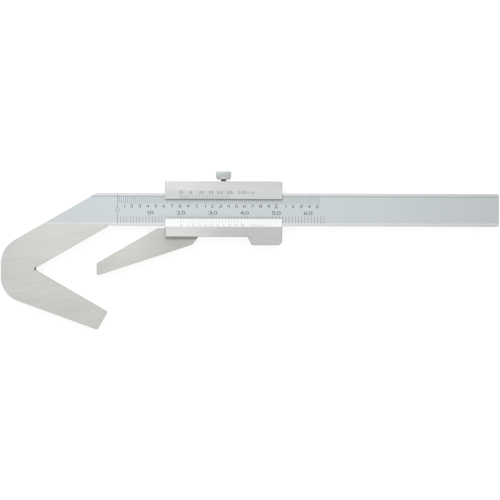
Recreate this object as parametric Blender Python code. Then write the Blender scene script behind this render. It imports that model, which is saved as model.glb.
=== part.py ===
"""Three-point vernier caliper with a 60 degree V-jaw, lying on the back of its slider.

Units are metres. +X runs along the beam away from the V, +Y towards the clamp screw, +Z towards the reader.
Everything is laid out from the apex of the V, and one empty then puts the origin under the middle of the whole.
"""

import math

import bmesh
import bpy
from mathutils import Vector

# Measuring geometry: a tool of diameter D touches both flanks, and the moving tip stands 1.5 D from the apex
V_HALF_ANGLE = math.radians(30.0)
SCALE_RATIO = 1.5
READING = 0.01985

# Beam and V-jaw
BEAM_THICKNESS = 0.0030
BEAM_HEIGHT = 0.0154
BEAM_BOTTOM_Y = 0.0205
BEAM_END_X = 0.2196
V_LEFT_REACH = 0.01544
V_UPPER_ARM_WIDTH = 0.01625
V_LOWER_ARM_END_WIDTH = 0.0098
V_LOWER_ARM_LENGTH = 0.0404
V_LOWER_BACK_ANGLE = math.radians(19.84)
V_UPPER_ROUND = 0.0130
V_LOWER_ROUND = 0.0120
V_ARM_CORNER_ROUND = 0.0006
APEX_ROUND = 0.0010
FLANK_END_X = 0.03495
ROOT_RELIEF_DEPTH = 0.00035
ROOT_RELIEF_LENGTH = 0.0043
SCALE_RECESS_DEPTH = 0.0003
SCALE_STEP_SLOPE = 0.0002
TOP_STRIP_HEIGHT = 0.0014
BOTTOM_STRIP_HEIGHT = 0.00145
BEAM_END_CHAMFER = 0.0005
EDGE_BREAK = 0.00012

# Slider body, X measured from the tip of the moving jaw
SLIDE_GAP = 0.0003
SEAT_GAP = 0.0002
SLIDER_BACK_WALL = 0.0020
SLIDER_LIP_DEPTH = 0.0020
SLIDER_LEFT_X = 0.03228
SLIDER_LENGTH = 0.0552
SLIDER_BOTTOM_DROP = 0.00517
SLIDER_TOP_RISE = 0.00565
LOWER_LIP_REACH = 0.0034
LOWER_BEVEL_START_DROP = 0.0004
UPPER_LIP_REACH = 0.00295
UPPER_LIP_SLANT = 0.0003
UPPER_BEVEL_START_RISE = 0.00145
LIP_EDGE_THICKNESS = 0.0005
THUMB_REST_DEPTH = 0.00387
THUMB_REST_LENGTH = 0.01424
THUMB_REST_SLOPE = 0.00203
THUMB_REST_ROUND = 0.0023
SLIDER_EDGE_BREAK = 0.00025

# Moving jaw, X measured from its own tip
JAW_TIP_ABOVE_AXIS = 0.0027
JAW_TIP_BELOW_AXIS = 0.0024
JAW_TIP_CHAMFER = 0.0010
JAW_TOP_GAP = 0.0012
JAW_LOWER_ANGLE = math.radians(18.2)
JAW_BACK_CORNER_X = 0.04505
JAW_BACK_ANGLE = math.radians(52.0)
JAW_TONGUE_END_X = 0.0487
RIVET_RADIUS = 0.0015
RIVET_FROM_SLIDER_END = 0.0045
RIVET_SPACING = 0.0075
RIVET_SUNK = 0.00015
RIVET_BLIND_WALL = 0.0006

# Gib strip and its set screws
GIB_THICKNESS = 0.0010
GIB_END_WALL = 0.0020
GIB_SCREW_RADIUS = 0.0012
GIB_SCREW_FROM_END = 0.0080
GIB_SCREW_SUNK = 0.0005
GIB_SCREW_POINT = 0.0007

# Clamp screw and its pad
CLAMP_X = 0.0598
CLAMP_HEAD_RADIUS = 0.0036
CLAMP_HEAD_HEIGHT = 0.00405
CLAMP_HEAD_GAP = 0.0009
CLAMP_HEAD_ROUND = 0.0006
CLAMP_FOOT_TAPER = 0.00085
CLAMP_FOOT_TAPER_HEIGHT = 0.0009
CLAMP_DISH_RADIUS = 0.0022
CLAMP_DISH_DEPTH = 0.00015
CLAMP_STEM_RADIUS = 0.0013
CLAMP_KNURLS = 36
CLAMP_KNURL_DEPTH = 0.00018
PAD_LENGTH = 0.0010

# End stop screw
STOP_FROM_END = 0.0040
STOP_HEAD_RADIUS = 0.00175
STOP_HEAD_HEIGHT = 0.0012
STOP_SHANK_RADIUS = 0.0009
STOP_SHANK_DEPTH = 0.0019

# Screwdriver slots
SLOT_WIDTH = 0.0005
SLOT_DEPTH = 0.0005

ROUND_SIDES = 32
ARC_STEP = math.radians(7.5)
CUT_MARGIN = 0.002

# Derived places
BEAM_TOP_Y = BEAM_BOTTOM_Y + BEAM_HEIGHT
BEAM_BACK_Z = SLIDER_BACK_WALL + SLIDE_GAP
BEAM_FRONT_Z = BEAM_BACK_Z + BEAM_THICKNESS
BEAM_MID_Z = (BEAM_BACK_Z + BEAM_FRONT_Z) / 2
SLIDER_FRONT_Z = BEAM_FRONT_Z + SLIDE_GAP + SLIDER_LIP_DEPTH
SLIDER_BOTTOM_Y = BEAM_BOTTOM_Y - SLIDER_BOTTOM_DROP
SLIDER_TOP_Y = BEAM_TOP_Y + SLIDER_TOP_RISE
SLIDER_RIGHT_X = SLIDER_LEFT_X + SLIDER_LENGTH
GIB_BOTTOM_Y = BEAM_TOP_Y + SLIDE_GAP
GIB_TOP_Y = GIB_BOTTOM_Y + GIB_THICKNESS
GIB_POCKET_Y = GIB_TOP_Y + SLIDE_GAP
TIP_X = SCALE_RATIO * READING


def clear_file():
    for old in list(bpy.data.objects):
        bpy.data.objects.remove(old, do_unlink=True)


def steel(name, colour, roughness, metallic=1.0):
    material = bpy.data.materials.new(name)
    material.use_nodes = True
    shader = material.node_tree.nodes["Principled BSDF"]
    shader.inputs["Base Color"].default_value = (*colour, 1.0)
    shader.inputs["Roughness"].default_value = roughness
    shader.inputs["Metallic"].default_value = metallic
    return material


def add_object(name, mesh, parent, material=None):
    obj = bpy.data.objects.new(name, mesh)
    bpy.context.scene.collection.objects.link(obj)
    obj.parent = parent
    if material:
        mesh.materials.append(material)
    return obj


def add_empty(name, location, parent=None):
    empty = bpy.data.objects.new(name, None)
    bpy.context.scene.collection.objects.link(empty)
    empty.parent = parent
    empty.location = location
    return empty


def along(angle, length):
    return Vector((math.cos(angle), math.sin(angle))) * length


def meet(point_a, angle_a, point_b, angle_b):
    """Where two lines in the XY plane cross, each given by a point and a direction angle."""
    da = along(angle_a, 1.0)
    db = along(angle_b, 1.0)
    across = da.x * db.y - da.y * db.x
    gap = Vector(point_b) - Vector(point_a)
    return Vector(point_a) + da * ((gap.x * db.y - gap.y * db.x) / across)


def arc(centre, radius, start, end):
    steps = max(2, math.ceil(abs(end - start) / ARC_STEP))
    turn = (end - start) / steps
    return [Vector(centre) + along(start + turn * i, radius) for i in range(steps + 1)]


def outline(corners):
    """A closed outline of (point, radius) corners, each rounded by an arc where its radius is not zero."""
    points = []
    for i, (corner, radius) in enumerate(corners):
        here = Vector(corner)
        if not radius:
            points.append(here)
            continue
        back = (Vector(corners[i - 1][0]) - here).normalized()
        ahead = (Vector(corners[(i + 1) % len(corners)][0]) - here).normalized()
        half = math.acos(max(-1.0, min(1.0, back.dot(ahead)))) / 2
        centre = here + (back + ahead).normalized() * (radius / math.sin(half))
        first = here + back * (radius / math.tan(half)) - centre
        last = here + ahead * (radius / math.tan(half)) - centre
        start = math.atan2(first.y, first.x)
        turn = math.remainder(math.atan2(last.y, last.x) - start, math.tau)
        points += arc(centre, radius, start, start + turn)
    return points


def prism(name, ring, height, parent, material=None):
    """Extrudes a flat ring of 3-D points by the vector height."""
    mesh = bpy.data.meshes.new(name)
    form = bmesh.new()
    face = form.faces.new([form.verts.new(point) for point in ring])
    top = bmesh.ops.extrude_face_region(form, geom=[face])
    moved = [item for item in top["geom"] if isinstance(item, bmesh.types.BMVert)]
    bmesh.ops.translate(form, verts=moved, vec=height)
    bmesh.ops.recalc_face_normals(form, faces=form.faces)
    form.to_mesh(mesh)
    form.free()
    return add_object(name, mesh, parent, material)


def plate(name, points, low, high, parent, material=None):
    ring = [(point[0], point[1], low) for point in points]
    return prism(name, ring, Vector((0, 0, high - low)), parent, material)


def block(name, low, high, parent):
    ring = [(low[0], low[1]), (high[0], low[1]), (high[0], high[1]), (low[0], high[1])]
    return plate(name, ring, low[2], high[2], parent)


def turned(name, profile, sides, parent, material=None, wave=None):
    """A closed turned form about local +Z from (radius, height) points; wave gives each side's own radius change."""
    mesh = bpy.data.meshes.new(name)
    form = bmesh.new()
    rings = []
    for radius, height in profile:
        if radius == 0:
            rings.append([form.verts.new((0, 0, height))])
            continue
        ring = []
        for i in range(sides):
            turn = math.tau * i / sides
            own = radius - (wave(i, height) if wave else 0.0)
            ring.append(form.verts.new((own * math.cos(turn), own * math.sin(turn), height)))
        rings.append(ring)
    for lower, upper in zip(rings, rings[1:]):
        for i in range(sides):
            j = (i + 1) % sides
            ring = [lower[i % len(lower)], lower[j % len(lower)], upper[j % len(upper)], upper[i % len(upper)]]
            form.faces.new(list(dict.fromkeys(ring)))
    bmesh.ops.recalc_face_normals(form, faces=form.faces)
    form.to_mesh(mesh)
    form.free()
    mesh.shade_smooth()
    mesh.set_sharp_from_angle(angle=math.radians(35))
    return add_object(name, mesh, parent, material)


def rod(name, radius, low, high, parent, material=None, rise=0.0):
    profile = [(0, low), (radius - rise, low), (radius, low + rise), (radius, high - rise)]
    profile += [(radius - rise, high), (0, high)]
    if not rise:
        profile = [(0, low), (radius, low), (radius, high), (0, high)]
    return turned(name, profile, ROUND_SIDES, parent, material)


def stand_along_y(obj, location):
    """Turns a form made about +Z so that its length runs along +Y."""
    obj.rotation_euler = (-math.pi / 2, 0, 0)
    obj.location = location


def cut(obj, cutter):
    cutter.hide_render = True
    cutter.display_type = "WIRE"
    step = obj.modifiers.new("cut " + cutter.name, "BOOLEAN")
    step.operation = "DIFFERENCE"
    step.solver = "EXACT"
    step.object = cutter


def break_edges(obj, width, angle=math.radians(20)):
    step = obj.modifiers.new("edge break", "BEVEL")
    step.width = width
    step.segments = 1
    step.limit_method = "ANGLE"
    step.angle_limit = angle


def beam_corners():
    """The outline of the V-jaw and beam, from the upper end of the V's upper flank round to the beam's root."""
    back_upper = (along(V_HALF_ANGLE + math.pi / 2, V_UPPER_ARM_WIDTH), V_HALF_ANGLE)
    arm_inner = along(-V_HALF_ANGLE, V_LOWER_ARM_LENGTH)
    arm_outer = arm_inner + along(-V_HALF_ANGLE - math.pi / 2, V_LOWER_ARM_END_WIDTH)
    left = Vector((-V_LEFT_REACH, 0))
    lower_left = meet(arm_outer, -V_LOWER_BACK_ANGLE, left, math.pi / 2)
    upper_left = meet(*back_upper, left, math.pi / 2)
    top_left = meet(*back_upper, Vector((0, BEAM_TOP_Y)), 0.0)
    relief_y = BEAM_BOTTOM_Y + ROOT_RELIEF_DEPTH
    chamfer = BEAM_END_CHAMFER
    corners = [
        ((0, 0), APEX_ROUND),
        (arm_inner, V_ARM_CORNER_ROUND / 2),
        (arm_outer, V_ARM_CORNER_ROUND),
        (lower_left, V_LOWER_ROUND),
        (upper_left, V_UPPER_ROUND),
        (top_left, 0),
        ((BEAM_END_X - chamfer, BEAM_TOP_Y), 0),
        ((BEAM_END_X, BEAM_TOP_Y - chamfer), 0),
        ((BEAM_END_X, BEAM_BOTTOM_Y + chamfer), 0),
        ((BEAM_END_X - chamfer, BEAM_BOTTOM_Y), 0),
        ((FLANK_END_X + ROOT_RELIEF_LENGTH, BEAM_BOTTOM_Y), 0),
        ((FLANK_END_X, relief_y), 0),
        ((FLANK_END_X, FLANK_END_X * math.tan(V_HALF_ANGLE)), 0),
    ]
    return corners


def recess_profile():
    """The Y-Z section of the scale recess: a shallow flat floor with a sloping step along each side."""
    floor_z = BEAM_FRONT_Z - SCALE_RECESS_DEPTH
    low_y = BEAM_BOTTOM_Y + BOTTOM_STRIP_HEIGHT
    high_y = BEAM_TOP_Y - TOP_STRIP_HEIGHT
    open_z = BEAM_FRONT_Z + CUT_MARGIN
    return [
        (low_y, floor_z),
        (high_y, floor_z),
        (high_y + SCALE_STEP_SLOPE, BEAM_FRONT_Z),
        (high_y + SCALE_STEP_SLOPE, open_z),
        (low_y - SCALE_STEP_SLOPE, open_z),
        (low_y - SCALE_STEP_SLOPE, BEAM_FRONT_Z),
    ]


def make_beam(parent, material):
    beam = plate("beam_with_v_jaw", outline(beam_corners()), BEAM_BACK_Z, BEAM_FRONT_Z, parent, material)
    break_edges(beam, EDGE_BREAK)
    start = -V_LEFT_REACH - CUT_MARGIN
    ring = [(start, y, z) for y, z in recess_profile()]
    recess = prism("scale_recess_cutter", ring, Vector((BEAM_END_X + CUT_MARGIN - start, 0, 0)), parent)
    cut(beam, recess)
    stop_hole = rod("stop_hole_cutter", STOP_SHANK_RADIUS + SEAT_GAP, -CUT_MARGIN, STOP_SHANK_DEPTH + SEAT_GAP, parent)
    stop_hole.location = (BEAM_END_X - STOP_FROM_END, BEAM_BOTTOM_Y + BEAM_HEIGHT / 2, BEAM_BACK_Z)
    cut(beam, stop_hole)
    return beam


def make_end_stop(parent, material):
    """A slotted cheese-head screw at the beam's back; the slider's right end comes to rest against its head."""
    under_head = -SEAT_GAP
    top = under_head - STOP_HEAD_HEIGHT
    rim = STOP_HEAD_RADIUS * 0.12
    profile = [
        (0, top),
        (STOP_HEAD_RADIUS - rim, top),
        (STOP_HEAD_RADIUS, top + rim),
        (STOP_HEAD_RADIUS, under_head),
        (STOP_SHANK_RADIUS, under_head),
        (STOP_SHANK_RADIUS, STOP_SHANK_DEPTH),
        (0, STOP_SHANK_DEPTH),
    ]
    screw = turned("end_stop_screw", profile, ROUND_SIDES, parent, material)
    screw.location = (BEAM_END_X - STOP_FROM_END, BEAM_BOTTOM_Y + BEAM_HEIGHT / 2, BEAM_BACK_Z)
    half = SLOT_WIDTH / 2
    reach = STOP_HEAD_RADIUS + CUT_MARGIN
    slot = block("stop_slot_cutter", (-half, -reach, top - CUT_MARGIN), (half, reach, top + SLOT_DEPTH), screw)
    cut(screw, slot)
    return screw


def slider_outline():
    """The slider seen from the front: a long block with the thumb rest below its right end."""
    rest_y = SLIDER_BOTTOM_Y - THUMB_REST_DEPTH
    rest_x = SLIDER_RIGHT_X - THUMB_REST_LENGTH
    return outline(
        [
            ((SLIDER_LEFT_X, SLIDER_BOTTOM_Y), 0),
            ((rest_x - THUMB_REST_SLOPE, SLIDER_BOTTOM_Y), 0),
            ((rest_x, rest_y), 0),
            ((SLIDER_RIGHT_X, rest_y), THUMB_REST_ROUND),
            ((SLIDER_RIGHT_X, SLIDER_TOP_Y), 0),
            ((SLIDER_LEFT_X, SLIDER_TOP_Y), 0),
        ]
    )


def channel_profile():
    """The Y-Z section of what is milled out of the slider: the beam's channel, the window and both bevels.

    The upper lip ends in a face that slants in towards the bevel, so that its edge is read close to the scale.
    """
    floor_z = BEAM_BACK_Z - SLIDE_GAP
    lip_z = BEAM_FRONT_Z + SLIDE_GAP
    edge_z = lip_z + LIP_EDGE_THICKNESS
    low_y = BEAM_BOTTOM_Y - SLIDE_GAP
    high_y = BEAM_TOP_Y + SLIDE_GAP
    window_low = BEAM_BOTTOM_Y + LOWER_LIP_REACH
    window_high = BEAM_TOP_Y - UPPER_LIP_REACH
    bevel_low = BEAM_BOTTOM_Y - LOWER_BEVEL_START_DROP
    bevel_high = BEAM_TOP_Y + UPPER_BEVEL_START_RISE
    open_z = SLIDER_FRONT_Z + CUT_MARGIN
    return [
        (low_y, floor_z),
        (high_y, floor_z),
        (high_y, lip_z),
        (window_high, lip_z),
        (window_high + UPPER_LIP_SLANT, edge_z),
        (bevel_high, SLIDER_FRONT_Z),
        (bevel_high, open_z),
        (bevel_low, open_z),
        (bevel_low, SLIDER_FRONT_Z),
        (window_low, edge_z),
        (window_low, lip_z),
        (low_y, lip_z),
    ]


def rivet_places():
    first = SLIDER_LEFT_X + RIVET_FROM_SLIDER_END
    middle_y = (SLIDER_BOTTOM_Y + BEAM_BOTTOM_Y - SLIDE_GAP) / 2
    return {
        "jaw_rivet_left": (first, middle_y),
        "jaw_rivet_right": (first + RIVET_SPACING, middle_y),
    }


def gib_screw_places():
    return {
        "gib_screw_left": SLIDER_LEFT_X + GIB_SCREW_FROM_END,
        "gib_screw_right": SLIDER_RIGHT_X - GIB_SCREW_FROM_END,
    }


def make_slider(parent, material):
    body = plate("slider_body", slider_outline(), 0.0, SLIDER_FRONT_Z, parent, material)
    break_edges(body, SLIDER_EDGE_BREAK)
    start = SLIDER_LEFT_X - CUT_MARGIN
    ring = [(start, y, z) for y, z in channel_profile()]
    channel = prism("channel_cutter", ring, Vector((SLIDER_LENGTH + 2 * CUT_MARGIN, 0, 0)), parent)
    cut(body, channel)
    gib_pocket = block(
        "gib_pocket_cutter",
        (SLIDER_LEFT_X + GIB_END_WALL, BEAM_TOP_Y - CUT_MARGIN / 4, BEAM_BACK_Z - SLIDE_GAP / 2),
        (SLIDER_RIGHT_X - GIB_END_WALL, GIB_POCKET_Y, BEAM_FRONT_Z + SLIDE_GAP / 2),
        parent,
    )
    cut(body, gib_pocket)
    jaw_pocket = block(
        "jaw_pocket_cutter",
        (start, SLIDER_BOTTOM_Y - CUT_MARGIN, BEAM_BACK_Z - SEAT_GAP),
        (JAW_TONGUE_END_X + SEAT_GAP, BEAM_BOTTOM_Y + CUT_MARGIN / 4, BEAM_FRONT_Z + SEAT_GAP),
        parent,
    )
    cut(body, jaw_pocket)
    for name, (x, y) in rivet_places().items():
        hole = rod(name + "_hole", RIVET_RADIUS + SEAT_GAP, -CUT_MARGIN, SLIDER_FRONT_Z - RIVET_BLIND_WALL, parent)
        hole.location = (x, y, 0)
        cut(body, hole)
    wall_low = GIB_POCKET_Y - SLIDE_GAP - GIB_THICKNESS / 2
    bores = {name: (x, GIB_SCREW_RADIUS) for name, x in gib_screw_places().items()}
    bores["clamp_screw"] = (CLAMP_X, CLAMP_STEM_RADIUS)
    for name, (x, radius) in bores.items():
        bore = rod(name + "_bore", radius + SEAT_GAP, 0.0, SLIDER_TOP_Y - wall_low + CUT_MARGIN, parent)
        stand_along_y(bore, (x, wall_low, BEAM_MID_Z))
        cut(body, bore)
    return body


def make_moving_jaw(parent, material):
    """The measuring blade: its upper edge runs parallel to the V's upper flank, its tongue goes into the slider."""
    tip_top = Vector((0, JAW_TIP_ABOVE_AXIS))
    tip_low = Vector((0, -JAW_TIP_BELOW_AXIS))
    top_y = BEAM_BOTTOM_Y - JAW_TOP_GAP
    shoulder = meet(tip_top, V_HALF_ANGLE, Vector((0, top_y)), 0.0)
    heel = tip_low + along(-V_HALF_ANGLE, JAW_TIP_CHAMFER)
    back = Vector((JAW_BACK_CORNER_X, heel.y + (JAW_BACK_CORNER_X - heel.x) * math.tan(JAW_LOWER_ANGLE)))
    tongue_foot = meet(back, JAW_BACK_ANGLE, Vector((JAW_TONGUE_END_X, 0)), math.pi / 2)
    bearing_y = BEAM_BOTTOM_Y - SLIDE_GAP
    bearing_x = SLIDER_LEFT_X + SEAT_GAP
    corners = [tip_low, heel, back, tongue_foot, Vector((JAW_TONGUE_END_X, bearing_y))]
    corners += [Vector((bearing_x, bearing_y)), Vector((bearing_x, top_y)), shoulder, tip_top]
    jaw = plate("moving_jaw", corners, BEAM_BACK_Z, BEAM_FRONT_Z, parent, material)
    break_edges(jaw, EDGE_BREAK)
    for name, (x, y) in rivet_places().items():
        hole = rod(name + "_jaw_hole", RIVET_RADIUS + SEAT_GAP, 0.0, SLIDER_FRONT_Z, parent)
        hole.location = (x, y, 0)
        cut(jaw, hole)
    return jaw


def make_rivets(parent, material):
    top = SLIDER_FRONT_Z - RIVET_BLIND_WALL - SEAT_GAP
    for name, (x, y) in rivet_places().items():
        rivet = rod(name, RIVET_RADIUS, RIVET_SUNK, top, parent, material)
        rivet.location = (x, y, 0)


def make_gib(parent, strip_material, screw_material):
    """A flat strip in its own pocket over the beam's upper edge, set by two slotted screws with turned points."""
    end_gap = GIB_END_WALL + SEAT_GAP
    ends = outline(
        [
            ((SLIDER_LEFT_X + end_gap, GIB_BOTTOM_Y), 0),
            ((SLIDER_RIGHT_X - end_gap, GIB_BOTTOM_Y), 0),
            ((SLIDER_RIGHT_X - end_gap, GIB_TOP_Y), GIB_THICKNESS / 2),
            ((SLIDER_LEFT_X + end_gap, GIB_TOP_Y), GIB_THICKNESS / 2),
        ]
    )
    plate("gib_strip", ends, BEAM_BACK_Z + SEAT_GAP, BEAM_FRONT_Z - SEAT_GAP, parent, strip_material)
    foot = GIB_TOP_Y + SEAT_GAP
    length = SLIDER_TOP_Y - GIB_SCREW_SUNK - foot
    tip_radius = GIB_SCREW_RADIUS - GIB_SCREW_POINT
    profile = [
        (0, 0),
        (tip_radius, 0),
        (GIB_SCREW_RADIUS, GIB_SCREW_POINT),
        (GIB_SCREW_RADIUS, length),
        (0, length),
    ]
    half = SLOT_WIDTH / 2
    reach = GIB_SCREW_RADIUS + CUT_MARGIN
    for name, x in gib_screw_places().items():
        screw = turned(name, profile, ROUND_SIDES, parent, screw_material)
        stand_along_y(screw, (x, foot, BEAM_MID_Z))
        low = (-reach, -half, length - SLOT_DEPTH)
        slot = block(name + "_slot", low, (reach, half, length + CUT_MARGIN), screw)
        cut(screw, slot)


def make_clamp_pad(parent, material):
    pad = rod("clamp_pad", CLAMP_STEM_RADIUS, 0.0, PAD_LENGTH, parent, material, rise=CLAMP_STEM_RADIUS / 6)
    stand_along_y(pad, (CLAMP_X, GIB_TOP_Y + SEAT_GAP, BEAM_MID_Z))
    return pad


def make_clamp_screw(parent, material):
    """Knurled head, tapered at its foot and rounded at its top rim, with a shallow dish, on a plain stem."""
    stem_foot = GIB_TOP_Y + 2 * SEAT_GAP + PAD_LENGTH
    stem = SLIDER_TOP_Y - stem_foot
    under = stem + CLAMP_HEAD_GAP
    top = under + CLAMP_HEAD_HEIGHT
    rim = CLAMP_HEAD_ROUND
    point = CLAMP_STEM_RADIUS / 3
    profile = [(0, 0), (CLAMP_STEM_RADIUS - point, 0), (CLAMP_STEM_RADIUS, point), (CLAMP_STEM_RADIUS, under)]
    quarter = [math.radians(a) for a in (0, 30, 60, 90)]
    edge = CLAMP_HEAD_RADIUS - rim
    profile += [(CLAMP_HEAD_RADIUS - CLAMP_FOOT_TAPER, under)]
    profile += [(CLAMP_HEAD_RADIUS, under + CLAMP_FOOT_TAPER_HEIGHT)]
    profile += [(edge + rim * math.cos(a), top - rim * (1 - math.sin(a))) for a in quarter]
    profile += [(CLAMP_DISH_RADIUS, top), (CLAMP_DISH_RADIUS - CLAMP_DISH_DEPTH, top - CLAMP_DISH_DEPTH)]
    profile += [(0, top - CLAMP_DISH_DEPTH)]

    def knurl(i, height):
        inside = under + rim / 4 < height < top - rim / 4
        return CLAMP_KNURL_DEPTH * (i % 4 in (0, 3)) if inside else 0.0

    screw = turned("clamp_screw", profile, CLAMP_KNURLS * 4, parent, material, wave=knurl)
    stand_along_y(screw, (CLAMP_X, stem_foot, BEAM_MID_Z))
    return screw


def main():
    clear_file()
    ground = steel("ground steel", (0.62, 0.62, 0.60), 0.32)
    satin = steel("satin chromed steel", (0.66, 0.68, 0.68), 0.36)
    dark = steel("blackened screw steel", (0.10, 0.10, 0.10), 0.45)
    knob = steel("matt nickel", (0.52, 0.55, 0.54), 0.38)
    brass = steel("brass", (0.71, 0.55, 0.27), 0.35)
    spring = steel("spring bronze", (0.60, 0.42, 0.24), 0.35)

    points = outline(beam_corners())
    head_top = SLIDER_TOP_Y + CLAMP_HEAD_GAP + CLAMP_HEAD_HEIGHT
    middle_x = (min(p[0] for p in points) + max(p[0] for p in points)) / 2
    middle_y = (min(p[1] for p in points) + head_top) / 2
    apex = add_empty("v_apex", (-middle_x, -middle_y, 0.0))
    tip = add_empty("jaw_tip", (TIP_X, 0.0, 0.0), apex)

    make_beam(apex, ground)
    make_end_stop(apex, dark)
    make_slider(tip, satin)
    make_moving_jaw(tip, ground)
    make_rivets(tip, ground)
    make_gib(tip, spring, dark)
    make_clamp_pad(tip, brass)
    make_clamp_screw(tip, knob)


main()
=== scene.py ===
import math

import bpy
from mathutils import Matrix, Vector


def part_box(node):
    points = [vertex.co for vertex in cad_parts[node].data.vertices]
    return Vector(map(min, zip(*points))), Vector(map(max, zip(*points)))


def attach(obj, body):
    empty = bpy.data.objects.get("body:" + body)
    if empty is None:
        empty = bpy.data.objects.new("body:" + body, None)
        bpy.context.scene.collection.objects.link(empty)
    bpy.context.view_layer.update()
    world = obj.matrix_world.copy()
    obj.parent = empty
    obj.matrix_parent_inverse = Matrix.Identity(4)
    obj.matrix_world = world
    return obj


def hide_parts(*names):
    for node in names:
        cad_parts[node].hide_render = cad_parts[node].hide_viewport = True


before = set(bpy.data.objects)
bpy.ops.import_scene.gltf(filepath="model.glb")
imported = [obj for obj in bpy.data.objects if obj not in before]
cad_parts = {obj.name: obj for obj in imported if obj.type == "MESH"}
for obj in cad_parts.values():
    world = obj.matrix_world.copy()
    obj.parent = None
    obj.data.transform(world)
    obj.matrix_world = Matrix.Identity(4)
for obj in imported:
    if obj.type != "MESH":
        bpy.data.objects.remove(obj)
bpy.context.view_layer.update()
print("caliper frame loaded:", len(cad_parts), "solids")

mm = 0.001
beamLow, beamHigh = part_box("beam_with_v_jaw")
slideLow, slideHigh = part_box("slider_body")
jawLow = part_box("moving_jaw")[0]
screwLow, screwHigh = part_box("clamp_screw")
scene = bpy.context.scene

# Where the readable faces lie, worked out from the boxes of the solids
apexX = beamLow.x + 15.44 * mm
apexY = beamHigh.y - 35.9 * mm
beamFloorY = beamHigh.y - 15.4 * mm
faces = {
    "recessZ": beamHigh.z - 0.3 * mm,
    "recessLow": beamFloorY + 1.45 * mm,
    "recessHigh": beamHigh.y - 1.4 * mm,
    "flankEndX": apexX + 34.95 * mm,
    "lipZ": beamHigh.z + 0.8 * mm,
    "lowerLipY": beamFloorY + 3.4 * mm,
    "lowerBevelY": beamFloorY - 0.4 * mm,
    "upperLipY": beamHigh.y - 2.65 * mm,
    "upperLipFootY": beamHigh.y - 2.95 * mm,
    "upperBevelY": beamHigh.y + 1.45 * mm,
}
bevelRise = slideHigh.z - faces["lipZ"]
upperTilt = math.atan2(bevelRise, faces["upperBevelY"] - faces["upperLipY"])
lowerTilt = -math.atan2(bevelRise, faces["lowerLipY"] - faces["lowerBevelY"])

# What both the mesh and the finish of the clamp screw's head follow
screwHead = {"height": 4.05 * mm, "grooveDepth": 0.13 * mm}


# Hands: what every piece below is shaped with

def deselectAll():
    if bpy.context.object and bpy.context.object.mode != "OBJECT":
        bpy.ops.object.mode_set(mode="OBJECT")
    bpy.ops.object.select_all(action="DESELECT")


def pick(obj):
    deselectAll()
    obj.select_set(True)
    bpy.context.view_layer.objects.active = obj


def named(name):
    obj = bpy.context.object
    obj.name = name
    obj.data.name = name
    return obj


def settle(obj):
    # the place goes into the mesh, and the object stays at the origin
    pick(obj)
    bpy.ops.object.transform_apply(location=True, rotation=True, scale=True)
    return obj


def editFaces(obj, test):
    # opens edit mode with only the faces selected whose centre and normal pass the test
    pick(obj)
    bpy.ops.object.mode_set(mode="EDIT")
    bpy.ops.mesh.select_mode(type="FACE")
    bpy.ops.mesh.select_all(action="DESELECT")
    bpy.ops.object.mode_set(mode="OBJECT")
    for face in obj.data.polygons:
        face.select = test(face.center, face.normal)
    bpy.ops.object.mode_set(mode="EDIT")


def editEdges(obj, test):
    # the same for edges, by their two ends
    pick(obj)
    bpy.ops.object.mode_set(mode="EDIT")
    bpy.ops.mesh.select_mode(type="EDGE")
    bpy.ops.mesh.select_all(action="DESELECT")
    bpy.ops.object.mode_set(mode="OBJECT")
    points = obj.data.vertices
    for edge in obj.data.edges:
        first, second = (points[i].co for i in edge.vertices)
        edge.select = test(first, second)
    bpy.ops.object.mode_set(mode="EDIT")


def backToObject():
    bpy.ops.object.mode_set(mode="OBJECT")


def extrudeUp(rise):
    bpy.ops.mesh.extrude_region_move(TRANSFORM_OT_translate={"value": (0, 0, rise)})


def shrinkRing(share):
    # scales the selected ring about the piece's own axis
    bpy.ops.transform.resize(value=(share, share, 1.0), center_override=(0, 0, 0))


def turnFacesOut():
    bpy.ops.mesh.select_all(action="SELECT")
    bpy.ops.mesh.normals_make_consistent(inside=False)
    backToObject()


def copyAt(obj, x, y):
    twin = obj.copy()
    twin.data = obj.data.copy()
    twin.data.transform(Matrix.Translation((x, y, 0)))
    scene.collection.objects.link(twin)
    return twin


def joined(name, parts):
    deselectAll()
    for part in parts:
        part.select_set(True)
    bpy.context.view_layer.objects.active = parts[0]
    bpy.ops.object.join()
    return named(name)


def throwAway(obj):
    bpy.data.objects.remove(obj, do_unlink=True)


# Finishes: small node helpers, then one function for each finish

def put(tree, kind, values=None, **settings):
    # a new node: a value that is another node's socket is linked, and any other is written
    made = tree.nodes.new(kind)
    for key, value in settings.items():
        setattr(made, key, value)
    for key, value in (values or {}).items():
        if isinstance(value, bpy.types.NodeSocket):
            tree.links.new(value, made.inputs[key])
        else:
            made.inputs[key].default_value = value
    return made


def newFinish(name, metallic):
    finish = bpy.data.materials.new(name)
    finish.use_nodes = True
    tree = finish.node_tree
    shader = tree.nodes["Principled BSDF"]
    shader.inputs["Metallic"].default_value = metallic
    coords = put(tree, "ShaderNodeTexCoord").outputs["Object"]
    return finish, tree, shader, coords


# Each pattern's own shift, so that no two fall together, and its detail
noiseKinds = {
    "fine": (0.0, 3.0),
    "broad": (3.7, 3.0),
    "cloud": (9.1, 1.0),
    "grain": (5.3, 3.0),
    "speck": (2.9, 1.0),
    "worn": (1.3, 4.0),
    "ink": (7.7, 3.0),
}
noiseSpan = (0.3, 0.7)  # most of a noise lies between these
grainDepth = 0.02 * mm


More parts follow.
